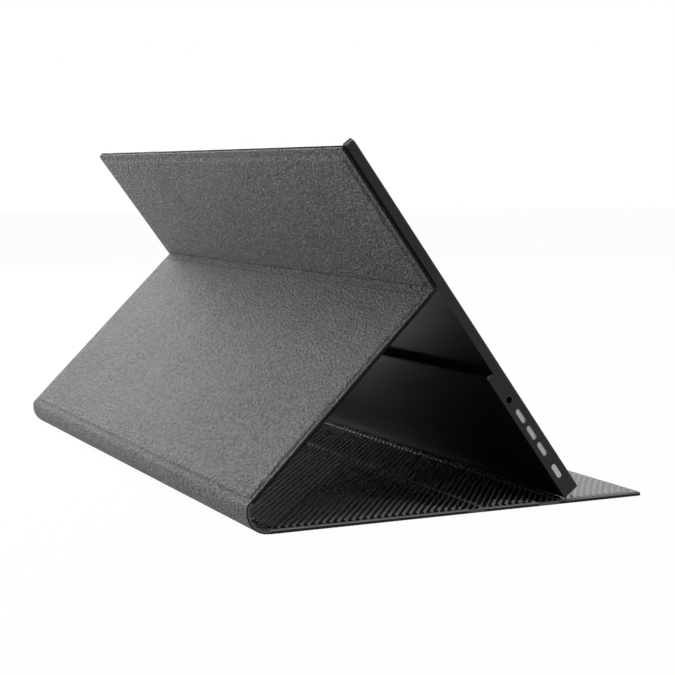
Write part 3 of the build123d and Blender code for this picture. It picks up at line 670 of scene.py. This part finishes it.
# ---- Ribs of the lining ----------------------------------------------------------------------
class Tree:
    """A Geometry Nodes tree under construction."""

    node = Finish.node

    def __init__(self, name, numbers):
        self.tree = bpy.data.node_groups.new(name, "GeometryNodeTree")
        self.tree.interface.new_socket("Geometry", in_out="INPUT",
                                       socket_type="NodeSocketGeometry")
        self.keys = {}
        for label, kind in numbers:
            item = self.tree.interface.new_socket(label, in_out="INPUT", socket_type=kind)
            self.keys[label] = item.identifier
        self.tree.interface.new_socket("Geometry", in_out="OUTPUT",
                                       socket_type="NodeSocketGeometry")
        self.nodes, self.links = self.tree.nodes, self.tree.links
        self.source = self.nodes.new("NodeGroupInput")

    def given(self, label):
        """An input of the tree."""
        return Value(self, self.source.outputs[label])


def rib_tree():
    """Flat-topped ribs at an even pitch across a rectangle, each cut to the rectangle's sides.
    Each rib is a grid of points that starts as a cube, with its long side in rings."""
    labels = ("Pitch", "Width", "Height", "Sink", "Turn", "Phase", "Reach", "Low", "High",
              "Pale Ends")
    tree = Tree("lining_ribs", [(label, "NodeSocketFloat") for label in labels] + [
        ("Count", "NodeSocketInt"), ("Rings", "NodeSocketInt"), ("Lining", "NodeSocketMaterial")])
    pitch, width, height, sink, turn, phase, reach, low, high, pale = map(tree.given, labels)
    count, rings = tree.given("Count"), tree.given("Rings")
    run_x, run_s = turn.math("COSINE"), turn.math("SINE")
    index = tree.node("GeometryNodeInputIndex")
    shift = (index - (count - 1) * 0.5) * pitch + phase
    from_x, from_s = 0 - shift * run_s, (low + high) * 0.5 + shift * run_x
    at_left, at_right = (0 - reach - from_x) / run_x, (reach - from_x) / run_x
    at_low, at_high = (low - from_s) / run_s, (high - from_s) / run_s
    overrun = 1.6             # how far a rib runs on before it is cut
    start = at_left.math("MAXIMUM", at_low.math("MINIMUM", at_high)) - overrun
    stop = at_right.math("MINIMUM", at_low.math("MAXIMUM", at_high)) + overrun
    length = stop - start

    points = tree.node("GeometryNodePoints", {}, {"Count": count})
    for label, value in (("rib_x", from_x + start * run_x), ("rib_s", from_s + start * run_s),
                         ("rib_length", length)):
        points = tree.node("GeometryNodeStoreNamedAttribute",
                           {"data_type": "FLOAT", "domain": "POINT"},
                           {"Geometry": points, "Name": label, "Value": value})
    short = tree.node("FunctionNodeCompare", {"data_type": "FLOAT", "operation": "LESS_THAN"},
                      {"A": length, "B": 2 * overrun + 2.0})
    points = tree.node("GeometryNodeDeleteGeometry", {"domain": "POINT"},
                       {"Geometry": points, "Selection": short})
    bar = tree.node("GeometryNodeMeshCube", {}, {
        "Size": (1.0, 1.0, 1.0), "Vertices X": rings, "Vertices Y": 4, "Vertices Z": 2})
    ribs = tree.node("GeometryNodeInstanceOnPoints", {}, {"Points": points, "Instance": bar})
    ribs = tree.node("GeometryNodeRealizeInstances", {}, {"Geometry": ribs})

    # Rings lie close together at a rib's ends, where the sheet slopes, and evenly between.
    local = tree.node("ShaderNodeSeparateXYZ", {}, {
        "Vector": tree.node("GeometryNodeInputPosition")}).socket.node.outputs
    local_x, local_y, local_z = (Value(tree, socket) for socket in local)
    ring = (local_x + 0.5) * (rings - 1)
    ring_back = (rings - 1) - ring
    rib_x, rib_s, rib_length = (
        tree.node("GeometryNodeInputNamedAttribute", {"data_type": "FLOAT"}, {"Name": label})
        for label in ("rib_x", "rib_s", "rib_length"))
    end_rings, end_step = 3.0, 1.5
    run_in = rib_length.math("MINIMUM", 5 * end_rings * end_step) * (1 / (5 * end_rings))
    between = (ring - end_rings) / (rings - 1 - 2 * end_rings)
    middle = end_rings * run_in + between * (rib_length - 2 * end_rings * run_in)
    near_start = ring.math("LESS_THAN", end_rings + 0.5)
    near_stop = ring_back.math("LESS_THAN", end_rings + 0.5)
    along = (near_start * (ring * run_in)
             + near_stop * (rib_length - ring_back * run_in)
             + (1 - near_start) * (1 - near_stop) * middle)

    # A rib's section: a flat top, and sides that sink into the sheet.
    side = local_y.math("SIGN")
    foot = (local_y.math("ABSOLUTE") * 2).math("GREATER_THAN", 0.75)
    is_top = local_z.math("GREATER_THAN", 0.0)
    across = side * width * (foot * 0.07 + 0.43)
    level = is_top * ((1 - foot) * (height + sink) + 0.01) - sink
    flat_x = rib_x + along * run_x - across * run_s
    flat_s = rib_s + along * run_s + across * run_x
    place = tree.node("ShaderNodeCombineXYZ", {}, {
        "X": flat_x.math("MINIMUM", reach).math("MAXIMUM", 0 - reach),
        "Y": flat_s.math("MINIMUM", high).math("MAXIMUM", low),
        "Z": level})

    # Pale ends have no dark crest: they take the lining's painted sheen.
    at_end = ring.math("MINIMUM", ring_back).math("LESS_THAN", 0.5)
    crest = is_top * (1 - foot) * (1 - at_end * pale)
    ribs = tree.node("GeometryNodeStoreNamedAttribute", {"data_type": "FLOAT", "domain": "POINT"},
                     {"Geometry": ribs, "Name": "crest", "Value": crest})
    ribs = tree.node("GeometryNodeSetPosition", {}, {"Geometry": ribs, "Position": place})
    ribs = tree.node("GeometryNodeSetMaterial", {}, {
        "Geometry": ribs, "Material": tree.given("Lining")})
    tree.node("NodeGroupOutput", {}, {"Geometry": ribs})
    return tree


RIBS = rib_tree()


def rib_mesh(low, high, reach, zero, rings, height, pale):
    """The ribs over one stretch of lining, flat, as a plain mesh in millimetres. Pale ribs
    end without a dark crest, in the lining's painted sheen."""
    holder = bpy.data.objects.new("ribs", bpy.data.meshes.new("ribs"))
    bpy.context.scene.collection.objects.link(holder)
    modifier = holder.modifiers.new("ribs", "NODES")
    modifier.node_group = RIBS.tree
    across = ((low + high) / 2 - zero) * cos(RIB_TURN) / RIB_PITCH      # in ribs, from y = 0
    span = 2 * reach * abs(sin(RIB_TURN)) + (high - low) * cos(RIB_TURN)
    for label, value in (("Pitch", RIB_PITCH), ("Width", RIB_WIDTH), ("Height", height),
                         ("Sink", RIB_SINK), ("Turn", RIB_TURN),
                         ("Phase", (round(across) - across) * RIB_PITCH), ("Reach", reach),
                         ("Low", low), ("High", high), ("Pale Ends", pale),
                         ("Count", 2 * int(span / RIB_PITCH / 2) + 3), ("Rings", rings),
                         ("Lining", LINING)):
        modifier[RIBS.keys[label]] = value
    holder.update_tag()
    shown = holder.evaluated_get(bpy.context.evaluated_depsgraph_get())
    mesh = bpy.data.meshes.new_from_object(shown)
    bpy.data.objects.remove(holder)
    return mesh


def add_ribs(piece, run, low, high, inset, level, zero, rings=8, height=RIB_HEIGHT, pale=0.0,
             dark=None):
    """Lays ribs on a sheet, at the height that level gives and no nearer to its side edges than
    inset, and joins them to its mesh. zero is where the front's y = 0 lies along the run, so
    that ribs meet across the folds, and dark gives where they are painted dark as painted shade."""
    mesh = rib_mesh(low, high, HALF_WIDTH - inset, zero, rings, height, pale)
    places = np.zeros(len(mesh.vertices) * 3)
    mesh.vertices.foreach_get("co", places)
    x, s, rise = places.reshape(-1, 3).T
    if dark:
        mesh.attributes.new("painted_edge", "FLOAT", "POINT").data.foreach_set(
            "value", dark(x, s))
    mesh.vertices.foreach_set("co", run.place(x, s, rise + level(x, s)).ravel())
    joined = bmesh.new()
    joined.from_mesh(piece.data)
    joined.from_mesh(mesh)
    joined.to_mesh(piece.data)
    joined.free()
    bpy.data.meshes.remove(mesh)


# ---- Panels of the cover ---------------------------------------------------------------------
def settle(piece, node):
    """Hides the CAD part that a piece stands for, and gives the piece back."""
    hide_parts(node)
    return piece


upper_sheet, upper_lining = upper.sheets("upper_leather", "upper_inner", LEATHER, FLAT_LINING)
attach(settle(upper_sheet, "upper_skin"), "upper_cover")
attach(settle(upper_lining, "upper_lining"), "upper_cover")
strut_sheet, strut_lining = strut.sheets("strut_leather", "strut_inner", LEATHER, FLAT_LINING)
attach(settle(strut_sheet, "strut_skin"), "strut")
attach(settle(strut_lining, "strut_lining"), "strut")

for number, panel in enumerate(front, 1):
    body = f"front_cover_{number}"
    top, outside = panel.sheets(f"front_ribbed_{number}", f"front_leather_{number}", LINING,
                                LEATHER)
    # The ribs take the panel's painted shade, and on panels 2 and 3 they end in the lining's
    # painted sheen.
    add_ribs(top, panel.run, panel.low + 0.6, panel.high - 0.45, 0.6,
             panel.crests, FRONT_ZERO, pale=float(number > 1), dark=panel.painted_shade)
    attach(settle(top, f"front_lining_{number}"), body)
    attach(settle(outside, f"front_skin_{number}"), body)


# The filling of a socket, as round-ended rings: how deep in the side, how long and how wide.
SOCKET_RINGS = ((3.0, 8.36, 2.46), (0.55, 8.36, 2.46), (0.5, 8.2, 2.3), (1.0, 7.7, 1.8),
                (1.1, 7.1, 1.2), (0.95, 6.9, 0.95), (0.85, 6.7, 0.8))
SOCKET_END_POINTS = 9


def socket_ring(at, depth, length, width):
    """A round-ended ring in the monitor's side, in metres."""
    turns = [pi * (i / (SOCKET_END_POINTS - 1) - 0.5) for i in range(SOCKET_END_POINTS)]
    straight, radius = (length - width) / 2, width / 2
    ends = [(at + side * (straight + radius * cos(turn)), side * radius * sin(turn))
            for side in (1, -1) for turn in turns]
    places = [FOOT + up * UP + (THICK_DEPTH - SOCKET_DEPTH + out) * OUT for up, out in ends]
    return [Vector((depth - HALF_WIDTH, *place)) * MM for place in places]


def socket_insert(name):
    """The pale fillings of the three sockets: a dished floor with the low tongue standing on it."""
    made = bmesh.new()
    for at in SOCKET_HEIGHTS:
        loops = [[made.verts.new(place) for place in socket_ring(at, *sizes)]
                 for sizes in SOCKET_RINGS]
        for first, second in zip(loops, loops[1:]):
            for i in range(len(first)):
                made.faces.new((first[i - 1], first[i], second[i], second[i - 1]))
        made.faces.new(loops[-1])
        made.faces.new(loops[0][::-1])
    bmesh.ops.recalc_face_normals(made, faces=made.faces)
    for face in made.faces:
        face.smooth = len(face.verts) == 4
    mesh = bpy.data.meshes.new(name)
    made.to_mesh(mesh)
    made.free()
    mesh.materials.append(moulded("socket_filling", (0.84, 0.84, 0.85), 0.4, 0.01, 5.0))
    piece = bpy.data.objects.new(name, mesh)
    bpy.context.scene.collection.objects.link(piece)
    return piece


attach(settle(socket_insert("socket_inserts"), "usb_tongues"), "monitor")


# ---- Spine and folds -------------------------------------------------------------------------
def strip_grid(low, high):
    """Places of a strip's grid lines, across and along."""
    steps = EDGE_STEPS + (2.0, 2.6)
    return stations(-HALF_WIDTH, HALF_WIDTH, steps, steps, 4.0), np.linspace(
        low, high, max(8, int((high - low) / 0.6)))


def edge_of(x):
    """Distance inside the cover's side edges."""
    return HALF_WIDTH - np.abs(x)


def dark_edge(x, _):
    """How dark the side edges are painted, as edge paint and painted shade: 1 along them and 0
    inside them.
    """
    return 1 - ease((edge_of(x) - 0.3) / 0.4)


# Painted shade all over.
def all_dark(x, _):
    return np.ones(x.shape)


def low_ribs(top):
    """The height, all over, at which low ribs begin so that they end at top."""
    return lambda x, _: np.full(x.shape, top - LOW_RIB_HEIGHT)


# The spine, from the first front panel round to the strut.
spine_points = ((BACK_Y - FRONT_1_END, HALF_RIM), (BACK_Y - HALF_RIM, HALF_RIM), SPINE_BEND_AT,
                SPINE_BEND_AT - STRUT_END * DOWN)
spine_radii = (SPINE_RADIUS - HALF_RIM, SPINE_BEND)
spine_run = Run(spine_points, spine_radii, side=-1)
spine_inside = Run(spine_points, spine_radii)
spine_xs, spine_along = strip_grid(0, spine_run.length)


def spine_split(x, _):
    """Height at which skin and lining meet."""
    return HALF_RIM - SPINE_SKIN + 0.65 * (1 - ease(edge_of(x) / 1.2))


spine_sheet = closed_sheet(
    "spine_leather", spine_run, spine_xs, spine_along,
    lambda x, _: HALF_RIM - rounding(edge_of(x), FOLD_ROUND),
    lambda x, s: spine_split(x, s) + SHEET_LAP, LEATHER)
spine_lining = closed_sheet(
    "spine_ribbed", spine_run, spine_xs, spine_along, spine_split,
    lambda x, _: rounding(edge_of(x), THIN_ROUND) - HALF_RIM + LOW_RIB_BASE, LINING,
    dark=dark_edge)
add_ribs(spine_lining, spine_inside, 0.2, spine_inside.length - 0.2, 0.4, low_ribs(HALF_RIM),
         FRONT_1_END - BACK_Y, 16, LOW_RIB_HEIGHT)
for piece, slot, node in ((spine_sheet, "cover_sheet", "spine_skin"),
                          (spine_lining, "cover_lining", "spine_lining")):
    settle(piece, node)
    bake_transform(piece)

# The pressed strip that folds behind the monitor.
fold_run = Run([FOLD + UPPER_START * UP, FOLD, FOLD + STRUT_START * DOWN], [HALF_RIM + 0.1])
fold_xs, fold_along = strip_grid(0, fold_run.length)
back_fold = closed_sheet(
    "back_fold_leather", fold_run, fold_xs, fold_along,
    lambda x, _: HALF_RIM - rounding(edge_of(x), EDGE_ROUND),
    lambda x, _: rounding(edge_of(x), LINING_ROUND) - HALF_RIM, LEATHER)
settle(back_fold, "back_fold_strip")
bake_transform(back_fold)

# The pressed creases between the front panels. The second lies flush, and it is painted dark all
# over as painted shade.
for number, (low, high) in enumerate((crease_1, crease_2), 1):
    flush_and_painted_dark = number == 2
    bed = RIM_DEPTH - (0.03 if flush_and_painted_dark else LOW_RIB_BASE)
    xs, along = strip_grid(FRONT_ZERO + low, FRONT_ZERO + high)
    strip = closed_sheet(
        f"crease_{number}", front_run, xs, along,
        lambda x, _: bed - rounding(edge_of(x), FOLD_ROUND),
        lambda x, _: rounding(edge_of(x), THIN_ROUND), LINING,
        dark=all_dark if flush_and_painted_dark else dark_edge)
    add_ribs(strip, front_run, FRONT_ZERO + low + 0.2, FRONT_ZERO + high - 0.2, 0.6,
             low_ribs(RIM_DEPTH), FRONT_ZERO, 8, LOW_RIB_HEIGHT,
             dark=all_dark if flush_and_painted_dark else None)
    settle(strip, f"crease_strip_{number}")
    f"front_cover_{number + 1}"
    high * MM
    low * MM
    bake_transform(strip)


# ---- Floor and light -------------------------------------------------------------------------
AMBIENT = 0.24             # the world's light on things; it is seen at a strength of 1


def seen_directly(finish):
    """1 for rays from the camera, mirrors and clear things, and 0 for light falling on things."""
    path = finish.node("ShaderNodeLightPath").socket.node.outputs
    seen = Value(finish, path["Is Camera Ray"])
    for kind in ("Is Glossy Ray", "Is Transmission Ray"):
        seen = seen.math("MAXIMUM", Value(finish, path[kind]))
    return seen


def make_floor():
    """A plain white floor that keeps the object's shadow."""
    finish = Finish("pale_floor")
    paper = finish.noise(finish.place(), 0.02)
    matt = finish.node("ShaderNodeBsdfDiffuse", {}, {
        "Color": finish.mix(paper, (0.86, 0.86, 0.86), (0.9, 0.9, 0.9))})
    white = finish.node("ShaderNodeEmission", {}, {"Color": (1, 1, 1, 1), "Strength": 1.0})
    shown = finish.node("ShaderNodeMixShader", {}, {
        0: seen_directly(finish) * 0.97, 1: matt, 2: white})
    finish.node("ShaderNodeOutputMaterial", {}, {"Surface": shown})
    reach = 6.0
    mesh = bpy.data.meshes.new("floor")
    mesh.from_pydata([(-reach, -reach, 0), (reach, -reach, 0), (reach, reach, 0),
                      (-reach, reach, 0)], [], [(0, 1, 2, 3)])
    mesh.materials.append(finish.material)
    floor = bpy.data.objects.new("floor", mesh)
    bpy.context.scene.collection.objects.link(floor)


def make_world():
    """Plain soft light from all round, in front of a white backdrop."""
    world = bpy.context.scene.world = bpy.data.worlds.new("studio")
    finish = Finish("studio", world)
    strength = seen_directly(finish) * (1 - AMBIENT) + AMBIENT
    light = finish.node("ShaderNodeBackground", {}, {
        "Color": (1, 1, 1, 1), "Strength": strength})
    finish.node("ShaderNodeOutputWorld", {}, {"Surface": light})


def softbox(name, place, aim, size, power):
    """A rectangular lamp that faces a point."""
    data = bpy.data.lights.new(name, "AREA")
    data.shape, data.size, data.size_y, data.energy = "RECTANGLE", *size, power
    lamp = bpy.data.objects.new(name, data)
    bpy.context.scene.collection.objects.link(lamp)
    turn = (Vector(place) - Vector(aim)).to_track_quat("Z", "Y").to_matrix().to_4x4()
    lamp.matrix_world = Matrix.Translation(place) @ turn


make_floor()
make_world()
softbox("overhead", (-0.3, 0.5, 1.6), (0, 0, 0.05), (0.7, 0.55), 11)
softbox("far_side", (1.6, 0.0, 0.85), (0, 0.05, 0.05), (1.2, 0.7), 20)
softbox("low_back", (0.75, 0.6, 0.3), (0.05, 0.05, 0.07), (0.5, 0.4), 10.5)

bpy.context.scene.view_settings.view_transform = "Standard"
